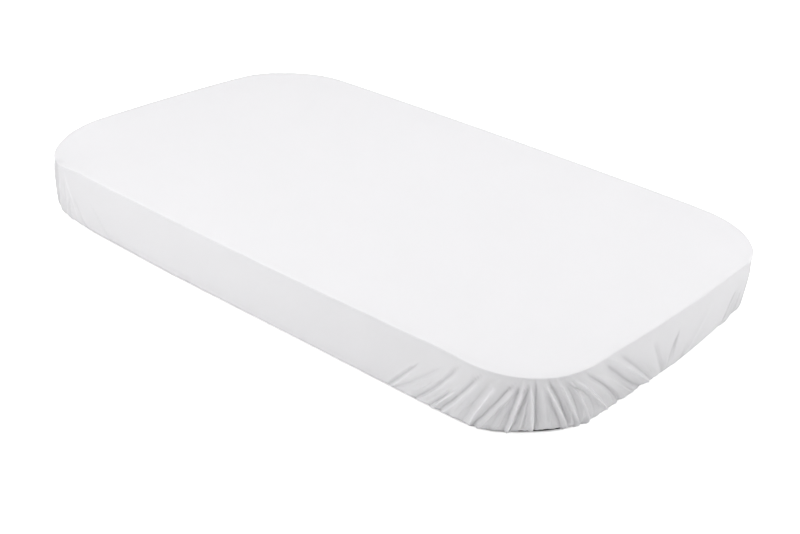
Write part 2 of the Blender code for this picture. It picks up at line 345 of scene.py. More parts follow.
# %% The folds at the far corner
FOLDS["far"] = table(FOLD_COLUMNS, (
    (-154, -107, 0, 72, 0, -2.3, 1.2, 3.2),
    (-132, -88, 0, 82, 0, 1.1, 4.0, 3.2),
    (-122, -81, 0, 88, 0, -2.7, 1.2, 3.2),
    (-101, -64, 0, 90, 0, 1.6, 3.5, 2.7),
    (-87, -51, 0, 92, 0, -3.2, 1.2, 3.2),
    (-69, -39, 0, 88, 0, 1.4, 3.0, 2.2),
    (-54, -34, 0, 92, 0, 2.3, 2.5, 1.5),
    (-46, -28, 0, 92, 0, -2.9, 1.0, 2.7),
    (-29, -17, 0, 94, 0, 2.0, 2.5, 1.7),
    (-19, -11, 0, 92, 0, -2.7, 1.0, 2.2),
    (-8, -3, 0, 98, 0, 2.9, 2.5, 1.5),
    (2, 2, 0, 94, 0, -3.1, 1.0, 2.7),
    (19, 12, 0, 88, 0, 1.4, 2.5, 1.7),
    (37, 22, 0, 96, 0, 2.5, 2.5, 1.5),
    (45, 29, 0, 96, 0, -3.1, 1.0, 2.7),
    (62, 37, 0, 94, 0, 2.0, 3.0, 1.7),
    (72, 44, 0, 92, 0, -2.7, 1.2, 2.7),
    (93, 54, 0, 90, 0, 1.8, 3.0, 2.7),
    (108, 65, 0, 86, 0, -2.5, 2.5, 1.5),
    (141, 89, 0, 80, 0, -2.2, 3.0, 1.7),
    (171, 120, 0, 70, 0, -1.6, 2.0, 1.7),
))
print("folds at the far corner:", len(FOLDS["far"]))

# %% The folds at the left corner
FOLDS["left"] = table(FOLD_COLUMNS, (
    (-146, -96, 0, 76, 0, -1.3, 1.5, 2.7),
    (-113, -75, 0, 88, 0, -1.8, 1.3, 3.2),
    (-97, -61, 0, 88, 0, 1.1, 3.0, 2.7),
    (-81, -53, 0, 92, 0, -1.9, 1.2, 3.2),
    (-60, -39, 0, 96, 0, 1.6, 2.5, 1.7),
    (-50, -32, 0, 92, 0, -2.0, 1.1, 2.7),
    (-37, -21, 0, 90, 0, 1.3, 2.5, 1.7),
    (-25, -15, 0, 92, 0, -1.7, 1.1, 2.2),
    (-13, -7, 0, 97, 0, 1.7, 2.2, 1.5),
    (-4, -1, 0, 94, 0, -1.8, 1.0, 2.5),
    (12, 10, 0, 94, 0, 1.4, 2.2, 1.5),
    (22, 20, 0, 92, 0, -1.6, 1.1, 2.2),
    (33, 33, 0, 94, 0, 1.2, 2.0, 1.5),
    (40, 38, 88, 122, 0, -2.0, 15.0, 12.0),
    (42, 46, 0, 90, 0, -1.2, 1.6, 1.6),
    (49, 55, 0, 86, 0, 2.2, 1.4, 1.8),
    (62, 63.5, 0, 90, 0, -1.4, 1.8, 1.6),
    (66, 76, 0, 64, 0, 2.2, 1.1, 1.2),
    (71, 79, 0, 62, 0, -1.3, 1.2, 1.8),
    (89, 71, 76, 99, 0, 1.8, 1.4, 2.0),
    (100, 71, 0, 64, 0, -1.3, 2.4, 3.0),
    (152, 100, 24, 69, 0, -0.9, 1.4, 3.4),
))
print("folds at the left corner:", len(FOLDS["left"]))

# %% [markdown]
# ## The shape of a fold
#
# A fold's line is straight on the cloth, or bowed a little. Its section is a soft tent,
# because cloth under tension falls away from a crest in a hollow curve, and it is often
# steeper on one side. A round hump would look like a tube laid under the cloth.

# %% A fold's line
LINE_LOW = 30  # a fold's foot is its line's place at this climb, in millimetres
LINE_HIGH = 85  # and its head is its place at this one
LINE_TOP = 98  # the lines run on straight to this climb


def fold_line(fold, climb):
    """Where a fold's line is at these climbs. Halfway it bows to one side by its whole bend."""
    risen = (np.clip(climb / MM, 0, LINE_TOP) - LINE_LOW) / (LINE_HIGH - LINE_LOW)
    bow = fold["bend"] * 4 * np.clip(risen * (1 - risen), 0, None)
    return (fold["foot"] + (fold["head"] - fold["foot"]) * risen + bow) * MM


first = FOLDS["near"][0]
print("the first fold's line goes from", fold_line(first, 0.0).round(3), "m at the floor")
print("to", fold_line(first, TOP_CLIMB).round(3), "m at the top edge")

# %% How far a fold stands out
CREST_POWER = 1.6  # 1 is a pointed tent and 2 a round hump
FOOT_STAND = 0.22  # the share of its stand that a fold has as it comes out from under
FOOT_LOW = 8 * MM
FOOT_FULL = 30 * MM
FADE_SHARE = 0.22  # a fold fades over this last share of its reach
START_LENGTH = 16 * MM  # a fold that starts higher swells over this much before its start
DEEPEST = 4.4 * MM


def eased(share):
    """0 to 1 with a soft start and end."""
    share = np.clip(share, 0, 1)
    return share * share * (3 - 2 * share)


def fold_stand(fold, along, climb):
    """How far one fold moves the cloth out. Rows of along are climbs."""
    across = along - fold_line(fold, climb)[:, None]
    half_width = np.where(across < 0, fold["before"], fold["after"]) * MM
    tent = 0.5 ** (np.abs(across / half_width) ** CREST_POWER)
    swell = FOOT_STAND + (1 - FOOT_STAND) * eased((climb - FOOT_LOW) / (FOOT_FULL - FOOT_LOW))
    if fold["start"]:
        swell = eased((climb - fold["start"] * MM) / START_LENGTH + 1)
    fade = eased((1 - climb / (fold["reach"] * MM)) / FADE_SHARE)
    return fold["stand"] * MM * tent * (swell * fade)[:, None]


def gathers(corner, along, climb):
    """How far all the corner's folds together move the cloth out. No tuck reaches the mattress."""
    out = sum(fold_stand(fold, along, climb) for fold in FOLDS[corner["name"]])
    out *= eased(1 + climb / HEM_REACH)[:, None]
    return np.where(out < 0, -DEEPEST * np.tanh(-out / DEEPEST), out)


halfway = np.array([LINE_LOW + LINE_HIGH]) / 2 * MM
round_corner = np.linspace(-ARC / 2, ARC / 2, 600)[None]
stands = gathers(CORNER_CALLED["near"], round_corner, halfway)
print(f"halfway up the near corner the folds go from {stands.min() / MM:.1f} to {stands.max() / MM:.1f} mm")

# %% The crests' feet
LEAST_CREST = 2.0  # only crests that stand out by more than this hang down at the foot
WIDEST_CREST = 2.0  # and they are narrower than this
HANG_SHARE = 0.45
FOOT_WIDE = 1.5  # a crest's foot is so much wider than the crest


def hanging(corner, along, climb):
    """How far the crests' feet hang down where the hem turns under."""
    down = np.zeros(along.shape)
    for fold in FOLDS[corner["name"]]:
        if fold["stand"] > LEAST_CREST and fold["before"] < WIDEST_CREST and not fold["start"]:
            across = (along - fold_line(fold, climb)[:, None]) / (FOOT_WIDE * fold["before"] * MM)
            down += HANG_SHARE * fold["stand"] * MM * 0.5 ** (np.abs(across) ** CREST_POWER)
    return down


feet = hanging(CORNER_CALLED["near"], round_corner, np.zeros(1))
print(f"the longest foot hangs {feet.max() / MM:.1f} mm down")

# %% [markdown]
# ## Small folds and ruffles
#
# Weak folds run beside the main ones, and where the hem turns under, the elastic packs the
# cloth into ruffles a few millimetres wide. These show as small teeth along the lowest edge of
# each corner. Both are too many to place by hand, so a seeded generator sets them side by side
# with uneven sizes.

# %% The small folds
small_dice = np.random.default_rng(11)
SMALL_FOLD_PITCH = 7.5
SMALL_FOLD_GAPS = (0.4, 1.6)  # shares of the pitch
SMALL_FOLD_STANDS = (0.35, 1.15)  # millimetres, as the next two
SMALL_FOLD_WIDTHS = (1.2, 2.4)
SMALL_FOLD_REACHES = (34, 84)
SMALL_FOLD_FADE = 0.7
# How far each corner is gathered, before and after its middle.
GATHERED_SPREAD = {"near": (-150, 215), "right": (-115, 125), "far": (-150, 150), "left": (-130, 110)}


def small_folds(corner, feet, climb):
    """Weak folds that run beside the main ones, set side by side with uneven sizes."""
    first, last = GATHERED_SPREAD[corner["name"]]
    out = np.zeros((len(climb), len(feet)))
    place = first
    while place < last:
        stand = small_dice.choice([-1, 1]) * small_dice.uniform(*SMALL_FOLD_STANDS) * MM
        wide = small_dice.uniform(*SMALL_FOLD_WIDTHS) * MM
        reach = small_dice.uniform(*SMALL_FOLD_REACHES) * MM
        away = (feet - place * MM) / wide
        tent = 0.5 ** (np.abs(away) ** CREST_POWER)
        rise = eased((climb - FOOT_LOW / 2) / FOOT_FULL)
        rise *= eased((1 - climb / reach) / SMALL_FOLD_FADE)
        out += stand * rise[:, None] * tent[None]
        place += SMALL_FOLD_PITCH * small_dice.uniform(*SMALL_FOLD_GAPS)
    return out


print("small folds stand out or in by", SMALL_FOLD_STANDS, "mm")

# %% The ruffles
ruffle_dice = np.random.default_rng(7)
RUFFLE_PITCHES = {"near": 4.6 * MM, "right": 7.5 * MM, "far": 7.5 * MM, "left": 7.5 * MM}
RUFFLE_WIDTHS = (0.6, 1.4)  # shares of the pitch
RUFFLE_HEIGHTS = (0.25, 1.0)
RUFFLE_ROUNDNESS = 0.7  # 1 is an arch, and less makes it fuller
RUFFLE_STAND = 1.8 * MM
RUFFLE_SPREAD = 125 * MM
RUFFLE_FADE = 40 * MM
RUFFLE_TOP = 26 * MM
HEM_FADE = 20 * MM  # what is small fades out over this much, up from the hem's turn and under it


def ruffles(corner, along, climb):
    """How far the ruffles move the cloth out, near the hem of one corner."""
    pitch = RUFFLE_PITCHES[corner["name"]]
    steps = pitch * ruffle_dice.uniform(*RUFFLE_WIDTHS, int(2 * RUFFLE_SPREAD / pitch))
    places = -RUFFLE_SPREAD + np.cumsum(steps)
    heights = ruffle_dice.uniform(*RUFFLE_HEIGHTS, len(places))
    away = (along[..., None] - places) / (steps / 2)
    ripple = (heights * np.clip(1 - away * away, 0, None) ** RUFFLE_ROUNDNESS).max(-1)
    near = eased((RUFFLE_SPREAD - np.abs(along)) / RUFFLE_FADE)
    low = eased((RUFFLE_TOP - climb) / HEM_FADE) * eased(1 + climb / HEM_FADE)
    return RUFFLE_STAND * low[:, None] * ripple * near


print("ruffles at the near corner:", int(2 * RUFFLE_SPREAD / RUFFLE_PITCHES["near"]))

# %% [markdown]
# ## The cloth's mesh
#
# The loft's columns run up along the fold lines, as a cloth's creases do, and stand closest
# together at a crease. That keeps a narrow fold clean without a very fine mesh. The last
# ring on the top is filled with one flat face. A Solidify modifier gives the cloth its own
# thin section.

# %% The rings
FLAT_END = -4 * MM  # from here outwards the rings stand closer, for the turn of the lower edge
RINGS = table(("start", "end", "count"), (
    (HEM_END, HEM_FOLD_END, 2),
    (HEM_FOLD_END, -HEM_REACH, 4),
    (-HEM_REACH, FLAT_END, 4),
    (FLAT_END, LOWER_CLIMB, 11),
    (LOWER_CLIMB, UPPER_CLIMB, 15),
))
EDGE_RINGS = 3
CLIMBS = np.concatenate([
    *(np.linspace(row["start"], row["end"], row["count"], endpoint=False) for row in RINGS),
    np.linspace(UPPER_CLIMB, TOP_CLIMB, EDGE_RINGS),
])
print("rings:", len(CLIMBS))

# %% The columns' feet
NEAR_STEP = 1.5 * MM
FAR_STEP = 2.7 * MM
PLAIN_STEP = 20 * MM
GATHERED_SIDE = 185 * MM
CLOSEST = 0.45 * MM
NEAR_OFFSETS = (-2.0, -1.2, -0.5, 0.0, 0.5, 1.2, 2.0)  # in half widths of a fold
FAR_OFFSETS = (-1.6, -0.6, 0.0, 0.6, 1.6)
WIDEST_OFFSET = 3.0  # a fold's half width counts as no more than this, in millimetres


def stretch(start, end, step):
    """Even places from start up to but not including end."""
    count = max(round((end - start) / step), 1)
    return np.linspace(start, end, count, endpoint=False)


def even_places(corner, step):
    """Places a step apart where the side is gathered, and far apart where it is plain."""
    before, after = corner_ends(corner)
    first, last = -min(before, GATHERED_SIDE), min(after, GATHERED_SIDE)
    # The short side between the near and the right corner has folds all along.
    if corner["name"] == "near":
        last = after
    if corner["name"] == "right":
        first = -before
    return np.concatenate([
        stretch(-before, first, PLAIN_STEP) if before > -first else [],
        stretch(first, last, step),
        stretch(last, after, PLAIN_STEP) if after > last else [],
    ])


def foot_places(corner):
    """The columns' places at the folds' feet, closer together at each fold."""
    step, offsets = (NEAR_STEP, NEAR_OFFSETS) if corner["name"] == "near" else (FAR_STEP, FAR_OFFSETS)
    before, after = corner_ends(corner)
    at_folds = []
    for fold in FOLDS[corner["name"]]:
        for offset in offsets:
            width = fold["before"] if offset < 0 else fold["after"]
            at_folds.append((fold["foot"] + offset * min(width, WIDEST_OFFSET)) * MM)
    at_folds = [place for place in at_folds if -before < place < after - CLOSEST]
    places = np.sort(np.concatenate([even_places(corner, step), at_folds]))
    kept = [places[0]]
    for place in places[1:]:
        if place - kept[-1] >= CLOSEST:
            kept.append(place)
    return np.array(kept)


print("columns:", {corner["name"]: len(foot_places(corner)) for corner in CORNERS})

# %% The columns' way up
GUIDE_REACH = 70  # only folds that reach this far, in millimetres, guide the columns
LEAST_GAP = 0.18  # how much two guides may close up on their way to the top


def columns(corner, climb):
    """Where each column is at each climb: it follows the fold lines on either side of it."""
    before, after = corner_ends(corner)
    feet = foot_places(corner)
    guides = sorted(
        (fold for fold in FOLDS[corner["name"]] if fold["reach"] >= GUIDE_REACH),
        key=lambda fold: fold["foot"],
    )
    at_foot = np.array([-before] + [fold["foot"] * MM for fold in guides] + [after])
    rows = []
    for height in climb:
        lines = [float(fold_line(fold, height)) for fold in guides]
        at_height = np.array([-before] + lines + [after])
        gaps = np.maximum(np.diff(at_height), LEAST_GAP * np.diff(at_foot))
        gaps *= (after + before) / gaps.sum()
        at_height = -before + np.concatenate([[0], np.cumsum(gaps)])
        rows.append(np.interp(feet, at_foot, at_height))
    return feet, np.array(rows)


for corner in CORNERS:
    guides = sum(fold["reach"] >= GUIDE_REACH for fold in FOLDS[corner["name"]])
    print(guides, "folds guide the columns at the", corner["name"], "corner")

# %% [markdown]
# ## What the light finds on the cloth
#
# A tuck holds shade and a sharp crest catches light. A renderer finds the shade of large
# shapes by itself, but not of pleats thinner than the mesh, so the shade in the tucks and the
# highlight on the sharp crests are painted into the cotton's colour. Low on a gathered corner
# the cloth is crinkled. Three values from 0 to 1 are kept at each point for the cotton to
# read: tuck, the painted shade; crest, the painted highlight; and gathered, for the crinkles.

# %% Tucks, crests and crinkles
# The painted shade in the tucks and the painted highlight on the sharp crests share these two.
PAINTED_WIDTH_SHARE = 0.8  # the width of the shade, as a share of the fold's half width
FULL_PAINT_STAND = 3.6  # a fold of this stand, in millimetres, or more has its full shade
CRINKLE_TOP = 84 * MM
CRINKLE_RISE = 0.55  # the crinkles fade over this upper share of their height
CRINKLE_BEYOND = 1.15  # they end so far out, as a share of the gathered half length
CRINKLE_FADE = 0.5


def painted_fold_shade_and_highlight(corner, along, climb, side):
    """0 to 1, the painted shade in a tuck (side -1) or the painted highlight on a sharp crest (side 1)."""
    shade = np.zeros(along.shape)
    for fold in FOLDS[corner["name"]]:
        if fold["stand"] * side < 0 or (side > 0 and fold["before"] > WIDEST_CREST):
            continue
        across = along - fold_line(fold, climb)[:, None]
        rise = eased((climb - FOOT_LOW / 2) / FOOT_LOW)
        fade = eased((1 - climb / (fold["reach"] * MM)) / FADE_SHARE)
        deep = min(abs(fold["stand"]) / FULL_PAINT_STAND, 1) * (rise * fade)[:, None]
        wide = PAINTED_WIDTH_SHARE * (fold["before"] + fold["after"]) / 2 * MM
        shade = np.maximum(shade, deep * np.exp(-((across / wide) ** 2)))
    return shade


def gathered_share(corner, along, climb):
    """0 to 1, how much the cloth is crinkled: most at a corner's foot, not at all at its top."""
    first, last = GATHERED_SPREAD[corner["name"]]
    middle, half = (first + last) / 2 * MM, (last - first) / 2 * MM
    beside = eased((CRINKLE_BEYOND - np.abs(along - middle) / half) / CRINKLE_FADE)
    low = eased((CRINKLE_TOP - climb) / (CRINKLE_RISE * CRINKLE_TOP))
    low *= eased(1 + climb / HEM_FADE)
    return beside * low[:, None]


print(f"the crinkles reach {CRINKLE_TOP / MM:.0f} mm up")

# %% The cloth's points
LEAN_OVER = 0.12  # how far a crest leans over along the rim, as a share of its stand
LEAN_TURN = 60 * MM


def lean_share(along):
    """Crests lean towards the corner's middle: forwards before it, backwards well past it."""
    return 1 - 2 * eased((along - LEAN_TURN) / LEAN_TURN)


def corner_cloth(number, corner):
    """One corner's share of the cloth, ring by ring: each point's place in space, in the flat cut
    and among the gathers, and its tuck (painted shade), crest (painted highlight) and gathered values."""
    inset, height = section(CLIMBS)
    down = np.cos(np.clip(CLIMBS / LOWER_ROUND, 0, math.pi / 2))
    feet, along = columns(corner, CLIMBS)
    rim, out = rim_points(corner, along)
    stand = gathers(corner, along, CLIMBS) + small_folds(corner, feet, CLIMBS)
    small = ruffles(corner, along, CLIMBS)
    lean = LEAN_OVER * lean_share(along) * stand
    outwards = stand + small * np.sqrt(1 - down**2)[:, None] - inset[:, None]
    points = bowed(rim + outwards[..., None] * out + lean[..., None] * sideways(out))
    points = pulled(points, np.broadcast_to(height[:, None], stand.shape))
    points[..., 2] -= (small + hanging(corner, along, CLIMBS)) * down[:, None]
    # Nothing hangs below the surface that the object rests on.
    points[..., 2] = np.maximum(points[..., 2], 0)
    level = np.broadcast_to(CLIMBS[:, None], along.shape)
    return {
        "point": points,
        "cut": rim + (TOP_CLIMB - CLIMBS - UPPER_ROUND)[:, None, None] * out,
        "gather": np.stack([feet[None] + 0 * level + number, level], -1),
        # tuck is painted shade and crest a painted highlight, both for the cotton's colour
        "tuck": painted_fold_shade_and_highlight(corner, along, CLIMBS, -1),
        "crest": painted_fold_shade_and_highlight(corner, along, CLIMBS, 1),
        "gathered": gathered_share(corner, along, CLIMBS),
    }


shares = [corner_cloth(number, corner) for number, corner in enumerate(CORNERS)]
grid = {name: np.concatenate([share[name] for share in shares], 1) for name in shares[0]}
print("points on the sides and the hem:", grid["point"].shape[0] * grid["point"].shape[1])

# %% Lofting rings


def lofted(name, rings, filled=True, closed_below=False):
    """An object whose faces join each ring to the next, with the last ring filled or open."""
    mesh = bmesh.new()
    rows = [[mesh.verts.new(point) for point in ring] for ring in rings]
    for low, high in zip(rows, rows[1:]):
        for i in range(len(low)):
            mesh.faces.new((low[i - 1], low[i], high[i], high[i - 1]))
    if filled:
        mesh.faces.new(rows[-1])
    if closed_below:
        mesh.faces.new(reversed(rows[0]))
    data = bpy.data.meshes.new(name)
    mesh.to_mesh(data)
    mesh.free()
    piece = bpy.data.objects.new(name, data)
    bpy.context.scene.collection.objects.link(piece)
    data.polygons.foreach_set("use_smooth", [True] * len(data.polygons))
    print(name, "has", len(data.polygons), "faces")
    return piece


# %% Building the cloth
CLOTH_THICKNESS = 0.45 * MM
TOP_SHARES = (0.03, 0.10, 0.20, 0.34)


def towards_middle(ring, share, level):
    """A ring on a flat face at this height, this share of the way to the middle line."""
    half = (LENGTH - WIDTH) / 2
    middle = np.stack([np.clip(ring[:, 0], -half, half), np.zeros(len(ring))], -1)
    points = ring[:, :2] + (middle - ring[:, :2]) * share
    return pulled(points, np.full(len(ring), float(level)))


def lay_flat(piece, name, places):
    """Gives each point a place in a flat map, in metres."""
    layer = piece.data.uv_layers.new(name=name)
    corner_points = np.empty(len(piece.data.loops), np.int32)
    piece.data.loops.foreach_get("vertex_index", corner_points)
    layer.data.foreach_set("uv", places[corner_points].astype(np.float32).ravel())


def build_cloth():
    top = [towards_middle(grid["point"][-1], share, HEIGHT) for share in TOP_SHARES]
    cloth = lofted("cotton_sheet", list(grid["point"]) + top)
    cut = np.concatenate(list(grid["cut"]) + [ring[:, :2] for ring in top])
    gather = np.concatenate(list(grid["gather"]) + [grid["gather"][-1]] * len(top))
    lay_flat(cloth, "flat_cut", cut)
    lay_flat(cloth, "gather_map", gather)
    # tuck and crest carry painted shade and a painted highlight; gathered only drives the crinkles
    for name in ("tuck", "crest", "gathered"):
        values = np.concatenate(list(grid[name]) + [0 * grid[name][-1]] * len(top))
        layer = cloth.data.attributes.new(name, "FLOAT", "POINT")
        layer.data.foreach_set("value", values.astype(np.float32))
    shell = cloth.modifiers.new("cloth thickness", "SOLIDIFY")
    shell.thickness = CLOTH_THICKNESS
    shell.offset = -1
    return cloth


cloth = build_cloth()

# %% [markdown]
# ## The cotton
#
# The sheet is woven plain and very fine. The weave is finer than the photograph can show,
# so it only softens the light, but it has to be there from close by. Two crossed waves on
# the flat cut raise the threads, and a slow noise makes the cloth very slightly uneven in
# tone. Long narrow crinkles run up the gathers, and one row of stitches holds the hem's
# turned edge under the mattress. All of it is relief for the light only, because threads and
# stitches as real shapes would need millions of faces.

# %% The ways to join a material's nodes


class Nodes:
    """Short ways to add and join the nodes of one material."""

    def __init__(self, name):
        self.material = bpy.data.materials.new(name)
        self.material.use_nodes = True
        self.tree = self.material.node_tree
        self.shader = self.tree.nodes["Principled BSDF"]

    def add(self, kind, **settings):
        node = self.tree.nodes.new("ShaderNode" + kind)
        for name, value in settings.items():
            setattr(node, name, value)
        return node

    def feed(self, node, name, source):
        """Gives an input a value, or joins it to an output."""
        if isinstance(source, bpy.types.NodeSocket):
            self.tree.links.new(source, node.inputs[name])
        else:
            node.inputs[name].default_value = source

    def matte(self, roughness, shine):
        self.feed(self.shader, "Roughness", roughness)
        self.feed(self.shader, "Specular IOR Level", shine)

    def surface(self, source):
        """Shows this shader instead of the usual one."""
        self.feed(self.tree.nodes["Material Output"], "Surface", source)

    def maths(self, operation, first, second=0.0):
        node = self.add("Math", operation=operation)
        self.feed(node, 0, first)
        self.feed(node, 1, second)
        return node.outputs[0]

    def spread(self, value, low, high):
        """A 0 to 1 value taken to low to high."""
        node = self.add("MapRange")
        self.feed(node, "Value", value)
        self.feed(node, "To Min", low)
        self.feed(node, "To Max", high)
        return node.outputs["Result"]

    def bump(self, height, distance, before=None):
        node = self.add("Bump")
        self.feed(node, "Height", height)
        self.feed(node, "Distance", distance)
        if before is not None:
            self.feed(node, "Normal", before)
        return node.outputs["Normal"]

    def noise(self, place, scale, detail):
        node = self.add("TexNoise")
        self.feed(node, "Vector", place)
        self.feed(node, "Scale", scale)
        self.feed(node, "Detail", detail)
        return node.outputs["Fac"]

    def flat_map(self, name):
        return self.add("UVMap", uv_map=name).outputs["UV"]

    def value_of(self, name):
        """A value that the piece keeps at each of its points."""
        return self.add("Attribute", attribute_name=name).outputs["Fac"]


print("node helpers:", [name for name in vars(Nodes) if not name.startswith("_")])

# %% The weave
THREAD_PITCH = 0.42 * MM
THREAD_WOBBLE = 0.6


def weave(made, cut):
    """Threads both ways. A wave texture of scale 1 has 10 / pi bands to the metre."""
    threads = []
    for way in ("X", "Y"):
        wave = made.add("TexWave", bands_direction=way)
        made.feed(wave, "Vector", cut)
        made.feed(wave, "Scale", math.pi / (THREAD_PITCH * 10))
        made.feed(wave, "Distortion", THREAD_WOBBLE)
        threads.append(wave.outputs["Fac"])
    return made.maths("ADD", *threads)


print(f"{10 * MM / THREAD_PITCH:.0f} threads to the centimetre, each way")

# %% The crinkles
CRINKLE_WIDE = 2.2 * MM
CRINKLE_LONG = 20 * MM
CRINKLE_DETAIL = 2.0


def crinkles(made, gather):
    """Noise drawn out along the gathers, only where the cloth is gathered."""
    longways = made.add("Mapping")
    made.feed(longways, "Vector", gather)
    made.feed(longways, "Scale", (1 / CRINKLE_WIDE, 1 / CRINKLE_LONG, 1))
    noise = made.noise(longways.outputs[0], 1.0, CRINKLE_DETAIL)
    return made.maths("MULTIPLY", noise, made.value_of("gathered"))


print(f"crinkles are {CRINKLE_WIDE / MM:.1f} mm wide and {CRINKLE_LONG / MM:.0f} mm long")

# %% The hem's stitches
STITCH_CLIMB = -HEM_REACH + HEM_WIDTH - 1.5 * MM  # inside the turned edge
STITCH_LONG = 3.0 * MM
STITCH_WIDE = 0.6 * MM
STITCH_SHARE = 0.75  # the rest of each stitch's length is the hole between two


def stitches(made, gather):
    """1 on the thread of the hem's row of stitches, and 0 beside it."""
    parts = made.add("SeparateXYZ")
    made.feed(parts, 0, gather)
    away = made.maths("ABSOLUTE", made.maths("SUBTRACT", parts.outputs["Y"], STITCH_CLIMB))
    on_row = made.maths("LESS_THAN", away, STITCH_WIDE / 2)
    step = made.maths("FRACT", made.maths("DIVIDE", parts.outputs["X"], STITCH_LONG))
    return made.maths("MULTIPLY", on_row, made.maths("LESS_THAN", step, STITCH_SHARE))


print("stitches in the hem:", round(2 * (LENGTH + WIDTH) / STITCH_LONG))

# %% The cotton material
COTTON_COLOUR = (0.755, 0.75, 0.765, 1)
COTTON_ROUGHNESS = 0.92
COTTON_SHINE = 0.25
COTTON_SHEEN = 0.10
SHEEN_ROUGHNESS = 0.5
MOTTLE_SCALE = 18
MOTTLE_DETAIL = 6
MOTTLE_DARKEST = 0.985
# Painted shade in the tucks and a painted highlight on the sharp crests, as shares of the colour
TUCK_PAINTED_SHADE = 0.18
CREST_PAINTED_HIGHLIGHT = 0.18
CRINKLE_HIGH = 1.7 * MM
THREAD_HIGH = 0.02 * MM
STITCH_HIGH = 0.3 * MM


def cotton():
    made = Nodes("white cotton")
    made.matte(COTTON_ROUGHNESS, COTTON_SHINE)
    made.feed(made.shader, "Sheen Weight", COTTON_SHEEN)
    made.feed(made.shader, "Sheen Roughness", SHEEN_ROUGHNESS)
    cut = made.flat_map("flat_cut")
    gather = made.flat_map("gather_map")

    relief = made.bump(crinkles(made, gather), CRINKLE_HIGH)
    relief = made.bump(weave(made, cut), THREAD_HIGH, relief)
    relief = made.bump(stitches(made, gather), STITCH_HIGH, relief)
    made.feed(made.shader, "Normal", relief)

    mottle = made.spread(made.noise(cut, MOTTLE_SCALE, MOTTLE_DETAIL), MOTTLE_DARKEST, 1.0)
    # The mottle is the cloth's own tone; painted shade darkens the tucks and a painted highlight lightens
    # the sharp crests.
    tone_and_painted_light = made.maths("MULTIPLY", made.spread(made.value_of("tuck"), 1.0, 1 - TUCK_PAINTED_SHADE), mottle)
    tone_and_painted_light = made.maths("MULTIPLY", made.spread(made.value_of("crest"), 1.0, 1 + CREST_PAINTED_HIGHLIGHT), tone_and_painted_light)
    tint = made.add("Mix", data_type="RGBA", blend_type="MULTIPLY")
    made.feed(tint, "Factor", 1.0)
    made.feed(tint, "A", COTTON_COLOUR)
    made.feed(tint, "B", tone_and_painted_light)
    made.feed(made.shader, "Base Color", tint.outputs["Result"])
    print(made.material.name, "has", len(made.tree.nodes), "nodes")
    return made.material


cloth.data.materials.append(cotton())

# %% [markdown]
# ## The mattress
#
# Only its underside shows, inside the hem. It is a plain foam pad in a knitted cover. A few
# loose rings a little inside the sheet's own section are enough for it, because nothing
# gathers there.

# %% The mattress
PAD_STEP = 12 * MM
PAD_RINGS = (7, 6, 4)  # round the lower edge, up the side and over the upper edge
PAD_SIDE_INSET = 5.5 * MM
PAD_FLAT_INSET = 3.0 * MM
PAD_SHARES = (0.34, 0.20, 0.10, 0.04)


def between_flats(points, height):
    """The same points a little nearer to the middle height, inside the cloth."""
    points[..., 2] += PAD_FLAT_INSET * (1 - 2 * height / HEIGHT)
    return points


def pad_rings():
    climbs = np.concatenate([
        np.linspace(0, LOWER_CLIMB, PAD_RINGS[0]),
        np.linspace(LOWER_CLIMB, UPPER_CLIMB, PAD_RINGS[1])[1:],
        np.linspace(UPPER_CLIMB, TOP_CLIMB, PAD_RINGS[2])[1:],
    ])
    inset, height = section(climbs)
    rings = []
    for corner in CORNERS:
        before, after = corner_ends(corner)
        rim, out = rim_points(corner, stretch(-before, after, PAD_STEP))
        points = bowed(rim[None] - (PAD_SIDE_INSET + inset)[:, None, None] * out[None])
        points = pulled(points, np.broadcast_to(height[:, None], points.shape[:2]))
        rings.append(between_flats(points, height[:, None]))
    return np.concatenate(rings, 1)


def build_pad():
    rings = pad_rings()
    below = [between_flats(towards_middle(rings[0], share, 0), 0) for share in PAD_SHARES]
    above = [
        between_flats(towards_middle(rings[-1], share, HEIGHT), HEIGHT)
        for share in reversed(PAD_SHARES)
    ]
    return lofted("mattress_pad", below + list(rings) + above, closed_below=True)


pad = build_pad()

# %% The mattress cover's material
COVER_DARK = (0.62, 0.61, 0.58, 1)
COVER_LIGHT = (0.74, 0.73, 0.70, 1)
COVER_ROUGHNESS = 0.95
LOOPS_PER_METRE = 700.0
LOOP_HIGH = 0.12 * MM


def ticking():
    """A fine knit: each loop is one small cell, light at its edge and dark in its middle."""
    made = Nodes("mattress cover")
    made.feed(made.shader, "Roughness", COVER_ROUGHNESS)
    knit = made.add("TexVoronoi")
    made.feed(knit, "Vector", made.add("TexCoord").outputs["Object"])
    made.feed(knit, "Scale", LOOPS_PER_METRE)
    tone = made.add("ValToRGB")
    tone.color_ramp.elements[0].color = COVER_DARK
    tone.color_ramp.elements[1].color = COVER_LIGHT
    made.feed(tone, "Fac", knit.outputs["Distance"])
    made.feed(made.shader, "Base Color", tone.outputs["Color"])
    made.feed(made.shader, "Normal", made.bump(knit.outputs["Distance"], LOOP_HIGH))
    print(made.material.name, "has", len(made.tree.nodes), "nodes")
    return made.material


pad.data.materials.append(ticking())

# %% [markdown]
# ## The floor
#
# The photograph has no floor to speak of: all round the object it is pure white, up to a
# narrow dark line where the hem is lifted. A real white floor would be grey beside the object.
# So a pale floor takes the light, and a narrow black ring lies on it under the object as
# painted deep shade. A clear veil and a dome brighten what the camera sees of the floor and
# the air: the veil's glow is painted light that lifts the shade beside the object. Veil and dome
# light nothing, so the cloth looks as it would on the floor alone.

# %% The pale floor
FLOOR_SIDE = 16
FLOOR_WHITE = (0.97, 0.97, 0.97, 1)
PURE_WHITE = (1, 1, 1, 1)
FAR_WHITE_START = 0.9  # this far from the object's middle the floor slowly turns pure white
FAR_WHITE_FULL = 2.6


